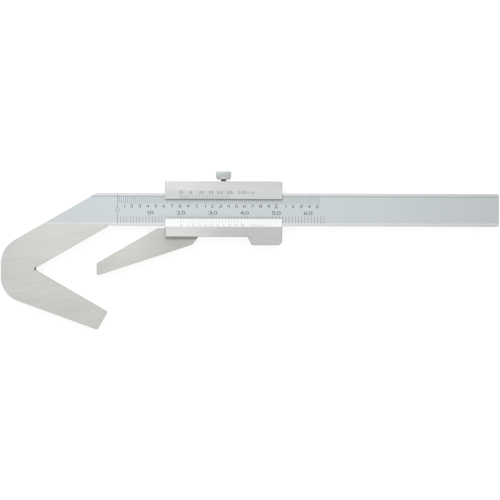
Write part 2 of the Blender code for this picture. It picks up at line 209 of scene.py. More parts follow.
def stretchedNoise(tree, coords, kind, along, across, tilt=0.0):
    # noise drawn out along X by the length and width of one streak
    shift, detail = noiseKinds[kind]
    turned = put(tree, "ShaderNodeMapping", {"Vector": coords, "Rotation": (0, 0, -tilt)})
    stretch = {
        "Vector": turned.outputs["Vector"],
        "Location": (shift, shift, shift),
        "Scale": (1 / along, 1 / across, 1 / across),
    }
    drawn = put(tree, "ShaderNodeMapping", stretch)
    values = {"Vector": drawn.outputs["Vector"], "Scale": 1.0, "Detail": detail}
    return put(tree, "ShaderNodeTexNoise", values).outputs["Fac"]


def maths(tree, operation, first, second):
    return put(tree, "ShaderNodeMath", {0: first, 1: second}, operation=operation).outputs[0]


def vectorMaths(tree, operation, first, second, output):
    return put(tree, "ShaderNodeVectorMath", {0: first, 1: second}, operation=operation).outputs[output]


def within(tree, value, low, high):
    # 1 where the value lies between low and high, else 0
    half = (high - low) / 2
    return put(tree, "ShaderNodeMath", {0: value, 1: low + half, 2: half}, operation="COMPARE").outputs[0]


def spread(tree, value, low, high, newLow=0.0, newHigh=1.0):
    # runs evenly from newLow at low to newHigh at high, and stays there beyond
    values = {"Value": value, "From Min": low, "From Max": high, "To Min": newLow, "To Max": newHigh}
    return put(tree, "ShaderNodeMapRange", values).outputs["Result"]


def opaque(tone):
    # a written tone gets its alpha, and a linked one stays as it is
    return (*tone, 1.0) if isinstance(tone, tuple) else tone


def mixTones(tree, factor, first, second):
    values = {"Factor": factor, 6: opaque(first), 7: opaque(second)}
    return put(tree, "ShaderNodeMix", values, data_type="RGBA").outputs[2]


def shaded(tree, factor, tone, share):
    # the tone times the share, or times a share for each of red, green and blue, where the factor is 1
    tint = share if isinstance(share, tuple) else (share, share, share)
    values = {"Factor": factor, 6: tone, 7: opaque(tint)}
    return put(tree, "ShaderNodeMix", values, data_type="RGBA", blend_type="MULTIPLY").outputs[2]


def mixValues(tree, factor, first, second):
    values = {"Factor": factor, 2: first, 3: second}
    return put(tree, "ShaderNodeMix", values, data_type="FLOAT").outputs[0]


def blended(tree, *parts):
    # the sum of some noises, each times its share
    total, *others = [maths(tree, "MULTIPLY", noise, share) for noise, share in parts]
    for other in others:
        total = maths(tree, "ADD", total, other)
    return total


def axesOf(tree, coords):
    split = put(tree, "ShaderNodeSeparateXYZ", {"Vector": coords})
    return split.outputs["X"], split.outputs["Y"], split.outputs["Z"]


def scatterAcross(tree, shader, amount):
    # ground and brushed faces spread the light across their grain, which runs along X
    across = put(tree, "ShaderNodeCombineXYZ", {"Y": 1.0})
    tree.links.new(across.outputs["Vector"], shader.inputs["Tangent"])
    shader.inputs["Anisotropic"].default_value = amount


def surface(tree, shader, tone, roughness, height, bump, depth=grainDepth):
    # what every finish ends with: its tone, its roughness and the relief of its grain
    tree.links.new(tone, shader.inputs["Base Color"])
    tree.links.new(roughness, shader.inputs["Roughness"])
    relief = put(tree, "ShaderNodeBump", {"Height": height, "Strength": bump, "Distance": depth})
    tree.links.new(relief.outputs["Normal"], shader.inputs["Normal"])


groundLook = {
    "dark": (0.459, 0.462, 0.438),
    "light": (0.538, 0.540, 0.515),
    "toneSpan": (0.35, 0.65),
    "fineLength": 7.0 * mm,
    "fineWidth": 0.28 * mm,
    "fineShare": 0.45,
    "broadLength": 16.0 * mm,
    "broadWidth": 1.1 * mm,
    "broadShare": 0.30,
    "cloudLength": 23.8 * mm,
    "cloudWidth": 14.0 * mm,
    "cloudShare": 0.25,
    "tilt": math.radians(6.0),
    "broadLean": 1.6,  # times the tilt of the others
    "roughness": (0.50, 0.62),
    "scatter": 0.7,
    "grainBump": 0.25,
}


def groundSteel(tree, coords, look):
    # surface ground with the grain along the beam: fine streaks, broader ones and soft clouds
    tilt = look["tilt"]
    leaning = tilt * look["broadLean"]
    fine = stretchedNoise(tree, coords, "fine", look["fineLength"], look["fineWidth"], tilt)
    broad = stretchedNoise(tree, coords, "broad", look["broadLength"], look["broadWidth"], leaning)
    cloud = stretchedNoise(tree, coords, "cloud", look["cloudLength"], look["cloudWidth"], tilt)
    shares = look["fineShare"], look["broadShare"], look["cloudShare"]
    mixed = blended(tree, *zip((fine, broad, cloud), shares))
    tone = mixTones(tree, spread(tree, mixed, *look["toneSpan"]), look["dark"], look["light"])
    roughness = spread(tree, fine, *noiseSpan, *look["roughness"])
    return tone, roughness, fine


jawLook = dict(
    groundLook,
    dark=(0.450, 0.453, 0.426),
    light=(0.528, 0.531, 0.503),
    fadeFrom=-14 * mm,
    fadeTo=5 * mm,
    rootPaintedShade=0.80,
    tipLength=11 * mm,
    tipFade=0.90,
)


def jawSteelFinish(look):
    # painted shade makes the blade darker where it goes into the slider, and it is a little darker at its tip
    finish, tree, shader, coords = newFinish("ground jaw steel", 1.0)
    tone, roughness, fine = groundSteel(tree, coords, look)
    x = axesOf(tree, coords)[0]
    root = spread(tree, x, slideLow.x + look["fadeFrom"], slideLow.x + look["fadeTo"])
    tip = spread(tree, x, jawLow.x + look["tipLength"], jawLow.x)
    # painted shade at the blade's root, and a darker tip
    tone = shaded(tree, tip, shaded(tree, root, tone, look["rootPaintedShade"]), look["tipFade"])
    surface(tree, shader, tone, roughness, fine, look["grainBump"])
    scatterAcross(tree, shader, look["scatter"])
    return finish


satinLook = {
    "tone": (0.461, 0.493, 0.507),
    "paleTone": (0.496, 0.527, 0.541),
    "bevelTone": (0.600, 0.620, 0.616),
    "bevelPaleTone": (0.640, 0.662, 0.658),
    "grainLength": 3.5 * mm,
    "grainWidth": 0.12 * mm,
    "grainShare": 0.5,
    "speck": 0.22 * mm,
    "speckShare": 0.5,
    "roughness": (0.50, 0.62),
}


def satinChrome(tree, coords, look, dark, pale):
    # satin chromed face: fine even grain with small specks, cool in colour
    grain = stretchedNoise(tree, coords, "grain", look["grainLength"], look["grainWidth"])
    speck = stretchedNoise(tree, coords, "speck", look["speck"], look["speck"])
    mixed = blended(tree, (grain, look["grainShare"]), (speck, look["speckShare"]))
    tone = mixTones(tree, spread(tree, mixed, *noiseSpan), dark, pale)
    roughness = spread(tree, speck, *noiseSpan, *look["roughness"])
    return tone, roughness, mixed


bottomShadeLook = {
    "bottomRadius": 1.0 * mm,
    "halfAngle": math.radians(30.0),
    "darkDepth": 0.45 * mm,
    "fadedDepth": 0.75 * mm,
    "darkReach": 0.425 * mm,
    "fadedReach": 0.85 * mm,
    "shade": 0.04,
}


def oilInBottom(tree, coords, look):
    # where the painted shade goes: 1 at the rounded bottom of the V near the front face, 0 a little way into
    # the steel or up the flanks
    bottom = look["bottomRadius"]
    middle = (apexX + bottom / math.sin(look["halfAngle"]), apexY, beamHigh.z)
    away = vectorMaths(tree, "DISTANCE", coords, middle, "Value")
    nearWall = spread(tree, away, bottom + look["fadedDepth"], bottom + look["darkDepth"])
    y = axesOf(tree, coords)[1]
    aside = maths(tree, "ABSOLUTE", maths(tree, "SUBTRACT", y, apexY), 0.0)
    atMiddle = spread(tree, aside, look["fadedReach"], look["darkReach"])
    return maths(tree, "MULTIPLY", nearWall, atMiddle)


beamLook = {
    "slack": 0.03 * mm,  # how far the tests reach past a face or an edge
    "stripDark": (0.505, 0.507, 0.512),
    "stripLight": (0.578, 0.581, 0.587),
    "stripPaintedShade": 0.90,
    "facePaintedShade": 0.94,
    "fadeFrom": 60.0 * mm,
    "slopeWidth": 0.2 * mm,
    "litEdge": (0.62, 0.63, 0.62),
    "litWidth": 0.15 * mm,
    "shadeWidth": 0.35 * mm,
    "stepShade": 0.82,
    "leftShade": 0.91,
    "leftWidth": 64.0 * mm,
    "lowerShade": 0.895,
    "heelWidth": 26.0 * mm,
    "heelShade": (0.935, 0.925, 0.960),
}


def beamFinish(look):
    # one solid with three faces: ground V-jaw, satin chromed scale face, bright strips at its edges
    finish, tree, shader, coords = newFinish("beam steel", 1.0)
    x, y, z = axesOf(tree, coords)
    jawTone, jawRoughness, jawGrain = groundSteel(tree, coords, groundLook)
    tones = satinLook["tone"], satinLook["paleTone"]
    satinTone, satinRoughness, satinGrain = satinChrome(tree, coords, satinLook, *tones)
    slack = look["slack"]
    low, high = faces["recessLow"], faces["recessHigh"]
    slope = look["slopeWidth"] + slack
    # painted shade makes the V-jaw darker towards its bottom, and its tone is darker and a little bluer
    # towards its heel, so it is palest at its top and towards its mouth
    downward = spread(tree, y, low, beamLow.y)
    heel = spread(tree, x, beamLow.x + look["heelWidth"], beamLow.x)
    jawTone = shaded(tree, downward, jawTone, look["lowerShade"])
    jawTone = shaded(tree, heel, jawTone, look["heelShade"])
    # bright strips above and below the scale face, with painted shade towards the right end
    pastFlank = maths(tree, "GREATER_THAN", x, faces["flankEndX"])
    aboveFace = maths(tree, "GREATER_THAN", y, high + slope)
    onFront = maths(tree, "GREATER_THAN", z, beamHigh.z - slack)
    strips = maths(tree, "MULTIPLY", maths(tree, "MAXIMUM", pastFlank, aboveFace), onFront)
    # painted shade ramp towards the right end of the beam
    fade = spread(tree, x, look["fadeFrom"], beamHigh.x)
    stripTone = mixTones(tree, jawGrain, look["stripDark"], look["stripLight"])
    tone = mixTones(tree, strips, jawTone, shaded(tree, fade, stripTone, look["stripPaintedShade"]))
    # the scale face, with painted shade making it a little darker over the V-jaw and towards the right end
    inRecess = within(tree, y, low - slack, high + slack)
    onFloor = within(tree, z, faces["recessZ"] - slack, faces["recessZ"] + slack)
    scaleFace = maths(tree, "MULTIPLY", inRecess, onFloor)
    leftward = spread(tree, x, beamLow.x + look["leftWidth"], beamLow.x)
    satinTone = shaded(tree, leftward, satinTone, look["leftShade"])
    satinTone = shaded(tree, fade, satinTone, look["facePaintedShade"])
    tone = mixTones(tree, scaleFace, tone, satinTone)
    # a painted highlight on the steps beside it, and painted shade at the foot of the upper one
    aboveFloor = maths(tree, "GREATER_THAN", z, faces["recessZ"] + slack)
    lowerStep = within(tree, y, low - slope - look["litWidth"], low + slack)
    upperStep = within(tree, y, high, high + slope)
    steps = maths(tree, "MULTIPLY", maths(tree, "ADD", lowerStep, upperStep), aboveFloor)
    tone = mixTones(tree, steps, tone, look["litEdge"])
    foot = maths(tree, "MULTIPLY", within(tree, y, high - look["shadeWidth"], high + slack), onFloor)
    tone = shaded(tree, foot, tone, look["stepShade"])
    # painted shade in the rounded bottom of the V
    tone = shaded(tree, oilInBottom(tree, coords, bottomShadeLook), tone, bottomShadeLook["shade"])
    roughness = mixValues(tree, scaleFace, jawRoughness, satinRoughness)
    grain = mixValues(tree, scaleFace, jawGrain, satinGrain)
    surface(tree, shader, tone, roughness, grain, groundLook["grainBump"])
    scatterAcross(tree, shader, groundLook["scatter"])
    return finish


sliderLook = dict(
    groundLook,
    slack=0.02 * mm,
    dark=(0.515, 0.515, 0.505),
    light=(0.589, 0.589, 0.580),
    tilt=0.0,
    upperFadeFrom=5 * mm,
    upperFade=0.91,
    lowerFadeFrom=9 * mm,
    lowerFade=0.80,
    fadeTo=27 * mm,
    lowerTone=0.98,
    upperBevelTone=0.99,
    lowerBevelTone=(0.964, 0.936, 0.945),
    lipEndHeight=0.5 * mm,
    lipShade=0.75,
    channelBelow=0.35 * mm,
    channelAbove=1.7 * mm,
    backRim=0.5 * mm,
    channelShade=0.15,
)


def sliderFinish(look):
    # ground body with satin chromed vernier bevels, and painted shade on the upper lip's end and in the
    # channel
    finish, tree, shader, coords = newFinish("slider steel", 1.0)
    x, y, z = axesOf(tree, coords)
    bodyTone, bodyRoughness, bodyGrain = groundSteel(tree, coords, look)
    tones = satinLook["bevelTone"], satinLook["bevelPaleTone"]
    satinTone, satinRoughness, satinGrain = satinChrome(tree, coords, satinLook, *tones)
    # painted shade: each long face is a little darker towards the right, the lower half a little darker all
    # over, and each bevel darkened by a share of its own
    upperHalf = maths(tree, "GREATER_THAN", y, (slideLow.y + slideHigh.y) / 2)
    lowerHalf = maths(tree, "SUBTRACT", 1.0, upperHalf)
    for side, half in (("upper", upperHalf), ("lower", lowerHalf)):
        rightward = spread(tree, x, slideLow.x + look[side + "FadeFrom"], slideLow.x + look["fadeTo"])
        bodyTone = shaded(tree, maths(tree, "MULTIPLY", rightward, half), bodyTone, look[side + "Fade"])
        satinTone = shaded(tree, half, satinTone, look[side + "BevelTone"])
    # painted shade on the lower half of the body
    bodyTone = shaded(tree, lowerHalf, bodyTone, look["lowerTone"])
    # the bevels from the lips' edges to the slider's front
    slack = look["slack"]
    upper = within(tree, y, faces["upperLipY"] - slack, faces["upperBevelY"])
    lower = within(tree, y, faces["lowerBevelY"], faces["lowerLipY"] + slack)
    onLips = maths(tree, "GREATER_THAN", z, faces["lipZ"] - slack)
    bevels = maths(tree, "MULTIPLY", maths(tree, "ADD", upper, lower), onLips)
    tone = mixTones(tree, bevels, bodyTone, satinTone)
    # painted shade on the slanted end of the upper lip, from its foot to its edge
    underLips = faces["lipZ"] - look["lipEndHeight"] + slack
    slantedEnd = within(tree, y, faces["upperLipFootY"] - slack, faces["upperLipY"])
    onEnd = maths(tree, "GREATER_THAN", z, underLips)
    tone = shaded(tree, maths(tree, "MULTIPLY", slantedEnd, onEnd), tone, look["lipShade"])
    # painted shade darkens the channel round the beam, apart from the rim of the slider's back
    channel = within(tree, y, beamFloorY - look["channelBelow"], beamHigh.y + look["channelAbove"])
    channel = maths(tree, "MULTIPLY", channel, maths(tree, "LESS_THAN", z, underLips))
    aboveRim = maths(tree, "GREATER_THAN", z, slideLow.z + look["backRim"])
    tone = shaded(tree, maths(tree, "MULTIPLY", channel, aboveRim), tone, look["channelShade"])
    roughness = mixValues(tree, bevels, bodyRoughness, satinRoughness)
    grain = mixValues(tree, bevels, bodyGrain, satinGrain)
    surface(tree, shader, tone, roughness, grain, look["grainBump"])
    scatterAcross(tree, shader, look["scatter"])
    return finish


def wornMetal(tree, coords, look):
    # specks of wear, in plating, in oiled black or on bare metal
    worn = stretchedNoise(tree, coords, "worn", look["speck"], look["speck"])
    tone = mixTones(tree, spread(tree, worn, *noiseSpan), look["dark"], look["light"])
    roughness = spread(tree, worn, *noiseSpan, *look["roughness"])
    return tone, roughness, worn


turnedLooks = {
    "black": {
        "name": "oiled black screw",
        "dark": (0.045, 0.045, 0.045),
        "light": (0.11, 0.11, 0.11),
        "roughness": (0.35, 0.55),
        "speck": 0.4 * mm,
        "grainBump": 0.3,
    },
    "bronze": {
        "name": "spring bronze",
        "dark": (0.50, 0.35, 0.20),
        "light": (0.66, 0.47, 0.28),
        "roughness": (0.30, 0.45),
        "speck": 0.8 * mm,
        "grainBump": 0.3,
    },
    "brass": {
        "name": "pad brass",
        "dark": (0.62, 0.48, 0.23),
        "light": (0.76, 0.60, 0.31),
        "roughness": (0.28, 0.42),
        "speck": 0.5 * mm,
        "grainBump": 0.3,
    },
}


def turnedFinish(look):
    # screws, strip and pad
    finish, tree, shader, coords = newFinish(look["name"], 1.0)
    tone, roughness, worn = wornMetal(tree, coords, look)
    surface(tree, shader, tone, roughness, worn, look["grainBump"])
    return finish


headLook = {
    "dark": (0.468, 0.510, 0.497),
    "light": (0.524, 0.566, 0.552),
    "grooveShade": 0.45,
    "turned": (0.77, 0.78, 0.77),
    "roughness": (0.33, 0.43),
    "speck": 0.35 * mm,
    "grainBump": 0.12,
    "gloss": 0.8,
    "glossRoughness": 0.35,
    "glossIor": 2.0,
    "foot": 0.95 * mm,
    "rim": 0.43 * mm,
}


def headFinish(look, head):
    # lacquered matt nickel, with painted shade in the grooves of the knurl, and the foot and the rim turned
    # bright
    finish, tree, shader, coords = newFinish("matt nickel", 1.0)
    tone, roughness, worn = wornMetal(tree, coords, look)
    middle = (screwLow + screwHigh) / 2
    radius = (screwHigh.x - screwLow.x) / 2
    flat = vectorMaths(tree, "MULTIPLY", coords, (1, 0, 1), "Vector")
    out = vectorMaths(tree, "DISTANCE", flat, (middle.x, 0, middle.z), "Value")
    y = axesOf(tree, coords)[1]
    onFoot = maths(tree, "LESS_THAN", y, screwHigh.y - head["height"] + look["foot"])
    onEnd = maths(tree, "GREATER_THAN", y, screwHigh.y - look["rim"])
    # painted shade in the grooves of the knurl
    groove = spread(tree, out, radius, radius - head["grooveDepth"])
    groove = maths(tree, "MULTIPLY", groove, maths(tree, "SUBTRACT", 1.0, onEnd))
    tone = shaded(tree, groove, tone, look["grooveShade"])
    onRim = maths(tree, "MULTIPLY", onEnd, maths(tree, "GREATER_THAN", out, radius - look["rim"]))
    tone = mixTones(tree, maths(tree, "MAXIMUM", onFoot, onRim), tone, look["turned"])
    surface(tree, shader, tone, roughness, worn, look["grainBump"])
    shader.inputs["Coat Weight"].default_value = look["gloss"]
    shader.inputs["Coat Roughness"].default_value = look["glossRoughness"]
    shader.inputs["Coat IOR"].default_value = look["glossIor"]
    return finish


inkLooks = {
    "ink": {"name": "engraving ink", "dark": (0.045, 0.050, 0.055), "light": (0.085, 0.092, 0.100)},
    "greyInk": {"name": "grey engraving ink", "dark": (0.15, 0.155, 0.16), "light": (0.22, 0.225, 0.23)},
    "paleInk": {"name": "worn engraving ink", "dark": (0.20, 0.21, 0.22), "light": (0.30, 0.31, 0.32)},
    "faintInk": {"name": "faint engraving ink", "dark": (0.27, 0.28, 0.29), "light": (0.38, 0.39, 0.40)},
}
inkGrain = {"patch": 0.5 * mm, "roughness": (0.45, 0.65), "bump": 0.2, "depth": 0.01 * mm}


def inkFinish(look, grain):
    # filled engraving, a little uneven along the lines
    finish, tree, shader, coords = newFinish(look["name"], 0.0)
    uneven = stretchedNoise(tree, coords, "ink", grain["patch"], grain["patch"])
    tone = mixTones(tree, uneven, look["dark"], look["light"])
    roughness = spread(tree, uneven, *noiseSpan, *grain["roughness"])
    surface(tree, shader, tone, roughness, uneven, grain["bump"], grain["depth"])
    return finish


finishes = {
    "jaw": jawSteelFinish(jawLook),
    "beam": beamFinish(beamLook),
    "slider": sliderFinish(sliderLook),
    "nickel": headFinish(headLook, screwHead),
}
for finishName, look in turnedLooks.items():
    finishes[finishName] = turnedFinish(look)
for finishName, look in inkLooks.items():
    finishes[finishName] = inkFinish(look, inkGrain)

nodeFinish = {
    "beam_with_v_jaw": "beam",
    "end_stop_screw": "black",
    "slider_body": "slider",
    "moving_jaw": "jaw",
    "jaw_rivet_left": "jaw",
    "jaw_rivet_right": "jaw",
    "gib_strip": "bronze",
    "gib_screw_left": "black",
    "gib_screw_right": "black",
    "clamp_pad": "brass",
    "clamp_screw": "nickel",
}


def dress(obj, finish):
    if not obj.material_slots:
        obj.data.materials.append(None)
    for materialSlot in obj.material_slots:
        materialSlot.link = "OBJECT"
        materialSlot.material = finishes[finish]


for nodeName, finishName in nodeFinish.items():
    dress(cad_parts[nodeName], finishName)
print("finishes made and put on the solids")


# Engraving: filled lines and figures, each a thin mesh that stands just proud of its face

engraving = {
    "proud": 0.012 * mm,
    "endRound": 0.45,  # of a line's width
    "endSteps": 2,
    "capShare": 0.7,  # how tall a figure is, of its type size
    "strokeShare": 0.2,  # how wide a 1 is, of the other digits' width
    "curveSteps": 3,
    "mergeWithin": 0.0005 * mm,
}


def makeTick(width, length):
    # one filled line, standing up +Y from its foot, its far end rounded as the cutter leaves it
    height = engraving["proud"]
    bpy.ops.mesh.primitive_cube_add(size=1, location=(0, length / 2, height / 2))
    tick = named("tick")
    tick.scale = (width, length, height)
    settle(tick)
    editEdges(tick, lambda a, b: min(a.y, b.y) > length / 2 and abs(a.z - b.z) > height / 2)
    bpy.ops.mesh.bevel(offset=width * engraving["endRound"], segments=engraving["endSteps"])
    backToObject()
    return tick


def tickRow(name, size, startX, startY, down):
    # lengths are by what a line's number divides by, the largest first
    masters = {}
    for step, length in size["lengths"]:
        masters[step] = makeTick(size["lineWidth"], length)
        if down:
            masters[step].data.transform(Matrix.Rotation(math.pi, 4, "Z"))
    row = []
    for i in range(size["count"]):
        step = next(step for step in masters if i % step == 0)
        row.append(copyAt(masters[step], startX + i * size["pitch"], startY))
    for master in masters.values():
        throwAway(master)
    return joined(name, row)


def engrave(text, x, y, height, width):
    # one word or digit, so wide and centred on x, with y at half its height
    bpy.ops.object.text_add()
    words = named("numeral")
    shape = words.data
    shape.body = text
    shape.size = height / engraving["capShare"]
    shape.extrude = engraving["proud"] / 2
    shape.resolution_u = engraving["curveSteps"]
    pick(words)
    bpy.ops.object.convert(target="MESH")
    words = bpy.context.object
    across = [point.co.x for point in words.data.vertices]
    stretch = width / (max(across) - min(across))
    words.scale = (stretch, 1, 1)
    words.location = (x - stretch * (max(across) + min(across)) / 2, y - height / 2, engraving["proud"] / 2)
    settle(words)
    bpy.ops.object.mode_set(mode="EDIT")
    bpy.ops.mesh.select_all(action="SELECT")
    bpy.ops.mesh.remove_doubles(threshold=engraving["mergeWithin"])
    backToObject()
    return words


def engraveNumber(number, x, y, height, width, advance):
    # every digit stands in its own cell, and a 1 at the right side of it
    digits = str(number)
    stroke = width * engraving["strokeShare"]
    cut = []
    for i, digit in enumerate(digits):
        middle = x + (i - (len(digits) - 1) / 2) * advance
        if digit == "1":
            cut.append(engrave(digit, middle + (width - stroke) / 2, y, height, stroke))
        else:
            cut.append(engrave(digit, middle, y, height, width))
    return cut


def layOn(obj, x, y, z, tilt=0.0):
    # lays flat work on its face: tilted about X on the line where it starts, then moved there
    obj.rotation_euler = (tilt, 0, 0)
    obj.location = (x, y, z)
    return settle(obj)


def finishPiece(obj, finish, body):
    obj.data.materials.clear()
    dress(obj, finish)
    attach(obj, body)


beamScale = {
    "zeroX": apexX + 39.5 * mm,
    "millimetre": {
        "count": 66,
        "pitch": 1.5 * mm,
        "lengths": ((10, 3.80 * mm), (5, 3.61 * mm), (1, 3.18 * mm)),
        "lineWidth": 0.15 * mm,
    },
    "inch": {
        "count": 101,
        "pitch": 0.9525 * mm,
        "lengths": ((4, 3.75 * mm), (1, 3.46 * mm)),
        "lineWidth": 0.125 * mm,
    },
}


def makeBeamScale(size):
    # the millimetre lines stand on the lower step, and the inch lines hang from the upper one
    rows = ("millimetre", faces["recessLow"], False), ("inch", faces["recessHigh"], True)
    for unit, startY, down in rows:
        lines = tickRow(unit + "_lines", size[unit], size["zeroX"], startY, down)
        layOn(lines, 0, 0, faces["recessZ"])
        finishPiece(lines, "ink", "beam")
    print("beam scale:", size["millimetre"]["count"] + size["inch"]["count"], "lines")


beamNumbers = {
    "millimetreReadings": range(10, 61, 10),
    "millimetreRise": 6.19 * mm,
    "millimetreHeight": 1.70 * mm,
    "millimetreWidth": 1.82 * mm,
    "millimetreAdvance": 2.35 * mm,
    "tenthCount": 25,
    "linesPerTenth": 4,
    "tenthRise": 9.35 * mm,
    "tenthHeight": 1.42 * mm,
    "tenthWidth": 1.45 * mm,
    "tenthShift": 0.95 * mm,
    "inchHeight": 1.85 * mm,
    "inchWidth": 1.80 * mm,
    "inchShift": 1.30 * mm,
}


def makeBeamNumbers(size, scale):
    numbers = []
    y = beamFloorY + size["millimetreRise"]
    digit = size["millimetreHeight"], size["millimetreWidth"], size["millimetreAdvance"]
    for reading in size["millimetreReadings"]:
        x = scale["zeroX"] + reading * scale["millimetre"]["pitch"]
        numbers += engraveNumber(reading, x, y, *digit)
    # tenths of an inch stand to the left of their lines, and whole inches in larger type
    y = beamFloorY + size["tenthRise"]
    for tenth in range(1, size["tenthCount"] + 1):
        x = scale["zeroX"] + tenth * size["linesPerTenth"] * scale["inch"]["pitch"]
        kind = "tenth" if tenth % 10 else "inch"
        shift, height, width = (size[kind + part] for part in ("Shift", "Height", "Width"))
        numbers += engraveNumber(tenth % 10 or tenth // 10, x - shift, y, height, width, width)
    numbers = joined("beam_numbers", numbers)
    layOn(numbers, 0, 0, faces["recessZ"])
    finishPiece(numbers, "ink", "beam")
    print("beam numbers done")


zeroMark = {
    "ringY": beamFloorY + 7.55 * mm,
    "ringRadius": 0.90 * mm,
    "ringLine": 0.17 * mm,
    "ringSides": 48,
    "topY": beamFloorY + 15.30 * mm,
    "upperFootY": beamFloorY + 8.45 * mm,
    "lowerTopY": beamFloorY + 5.90 * mm,
    "bottomY": beamFloorY + 0.90 * mm,
}


def makeZeroMark(size, scale):
    # a long line through both scales, broken by the ring that stands for nought
    z = faces["recessZ"]
    front = beamHigh.z
    spans = (
        (size["upperFootY"], faces["recessHigh"], z),
        (faces["recessHigh"], size["topY"], front),
        (faces["recessLow"], size["lowerTopY"], z),
        (size["bottomY"], faces["recessLow"], front),
    )
    parts = []
    for low, high, level in spans:
        line = makeTick(scale["millimetre"]["lineWidth"], high - low)
        parts.append(layOn(line, scale["zeroX"], low, level))
    bpy.ops.mesh.primitive_circle_add(
        vertices=size["ringSides"], radius=size["ringRadius"], fill_type="NGON"
    )
    ring = named("ring")
    editFaces(ring, lambda centre, normal: True)
    bpy.ops.mesh.inset(thickness=size["ringLine"])
    bpy.ops.mesh.delete(type="FACE")
    bpy.ops.mesh.select_all(action="SELECT")
    extrudeUp(engraving["proud"])
    turnFacesOut()
    parts.append(layOn(ring, scale["zeroX"], size["ringY"], z))
    mark = joined("zero_mark", parts)
    finishPiece(mark, "ink", "beam")
    print("zero mark done")


vernierZeroX = slideLow.x + 7.22 * mm

upperVernier = {
    "count": 26,
    "pitch": 0.9144 * mm,
    "lengths": ((5, 2.45 * mm), (1, 2.05 * mm)),
    "lineWidth": 0.085 * mm,
    "numberEvery": 5,  # lines, and by how much the number rises there
    "numberStep": 5,
    "numberY": 3.25 * mm,
    "numberShift": 0.28 * mm,
    "numberHeight": 1.30 * mm,
    "numberWidth": 1.42 * mm,
    "advance": 1.68 * mm,
    "unitText": "0.001 in",
    "unitX": 31.0 * mm,
    "unitHeight": 1.20 * mm,
    "unitWidth": 7.75 * mm,
    "lineInk": "ink",
    "numberInk": "greyInk",
}

lowerVernier = {
    "count": 21,
    "pitch": 1.425 * mm,
    "lengths": ((2, 2.30 * mm), (1, 1.95 * mm)),
    "lineWidth": 0.085 * mm,
    "numberEvery": 2,
    "numberStep": 1,
    "numberY": -3.33 * mm,
    "numberShift": 0.45 * mm,
    "numberHeight": 1.05 * mm,
    "numberWidth": 0.95 * mm,
    "advance": 1.15 * mm,
    "unitText": "0.05 mm",
    "unitX": 36.3 * mm,
    "unitHeight": 0.95 * mm,
    "unitWidth": 6.70 * mm,
    "lineInk": "paleInk",
    "numberInk": "faintInk",
}


def makeVernier(name, size, down, lipY, tilt):
    # drawn flat from the lip's edge, then laid on the bevel
    ticks = tickRow(name + "_lines", size, 0, 0, down)
    layOn(ticks, vernierZeroX, lipY, faces["lipZ"], tilt)
    finishPiece(ticks, size["lineInk"], "slider")
    words = [engrave(size["unitText"], size["unitX"], size["numberY"], size["unitHeight"], size["unitWidth"])]
    digit = size["numberHeight"], size["numberWidth"], size["advance"]
    for i, line in enumerate(range(0, size["count"], size["numberEvery"])):
        x = line * size["pitch"] + size["numberShift"]
        words += engraveNumber(i * size["numberStep"], x, size["numberY"], *digit)
    lettering = joined(name + "_numbers", words)
    layOn(lettering, vernierZeroX, lipY, faces["lipZ"], tilt)
    finishPiece(lettering, size["numberInk"], "slider")
    print(name, "done")


makeBeamScale(beamScale)
makeBeamNumbers(beamNumbers, beamScale)
makeZeroMark(zeroMark, beamScale)
makeVernier("inch_vernier", upperVernier, False, faces["upperLipY"], upperTilt)
makeVernier("millimetre_vernier", lowerVernier, True, faces["lowerLipY"], lowerTilt)


# Clamp screw: knurled head with a turned dish, and a threaded stem

clampScrew = {
    "headRadius": 3.60 * mm,
    "headHeight": screwHead["height"],
    "knurls": 48,
    "knurlDepth": screwHead["grooveDepth"],
    "knurlGap": 0.085 * mm,
    "footChamfer": (0.62 * mm, 0.80 * mm),
    "topChamfer": (0.45 * mm, 0.40 * mm),
    "dishRadius": 2.20 * mm,
    "dishDepth": 0.15 * mm,
    "edgeRound": 0.06 * mm,
    "roundSteps": 2,
    "roundAbove": math.radians(35),
    "headSmooth": math.radians(30),
    "stemSides": 40,
    "threadRadius": 1.30 * mm,
    "threadDepth": 0.16 * mm,
    "pitch": 0.45 * mm,
    "ridgeSink": 0.2,  # of the thread's depth, inside the core
    "ridgeWidth": 0.9,  # of the triangle's own
    "ridgeSteps": 28,
    "stemSmooth": math.radians(35),
    "pointChamfer": (0.175 * mm, 0.0875 * mm),
}


endFace = {"upright": 0.9, "near": 0.01 * mm}


def facing(direction, height):
    # picks the flat end face that looks up or down at that height
    def test(centre, normal):
        return normal.z * direction > endFace["upright"] and abs(centre.z - height) < endFace["near"]

    return test


def makeKnurledHead(size):
    core = size["headRadius"] - size["knurlDepth"]
    footIn, footRise = size["footChamfer"]
    topIn, topRise = size["topChamfer"]
    band = size["headHeight"] - footRise - topRise
    bpy.ops.mesh.primitive_cylinder_add(
        vertices=size["knurls"], radius=core, depth=band, location=(0, 0, footRise + band / 2)
    )
    head = settle(named("clamp_head"))
    editFaces(head, lambda centre, normal: abs(normal.z) < endFace["upright"])
    bpy.ops.mesh.inset(thickness=size["knurlGap"], depth=size["knurlDepth"], use_individual=True)
    backToObject()
    editFaces(head, facing(-1, footRise))
    extrudeUp(-footRise)
    shrinkRing((size["headRadius"] - footIn) / core)
    bpy.ops.mesh.inset(thickness=size["headRadius"] - footIn - size["threadRadius"])
    backToObject()
    editFaces(head, facing(1, footRise + band))
    extrudeUp(topRise)
    shrinkRing((size["headRadius"] - topIn) / core)
    bpy.ops.mesh.inset(thickness=size["headRadius"] - topIn - size["dishRadius"])
    bpy.ops.mesh.inset(thickness=size["dishDepth"], depth=-size["dishDepth"])
    backToObject()
    rounds = head.modifiers.new("edge rounds", "BEVEL")
    rounds.width = size["edgeRound"]
    rounds.segments = size["roundSteps"]
    rounds.limit_method = "ANGLE"
    rounds.angle_limit = size["roundAbove"]
    bpy.ops.object.modifier_apply(modifier=rounds.name)
    bpy.ops.object.shade_smooth_by_angle(angle=size["headSmooth"])
    return head


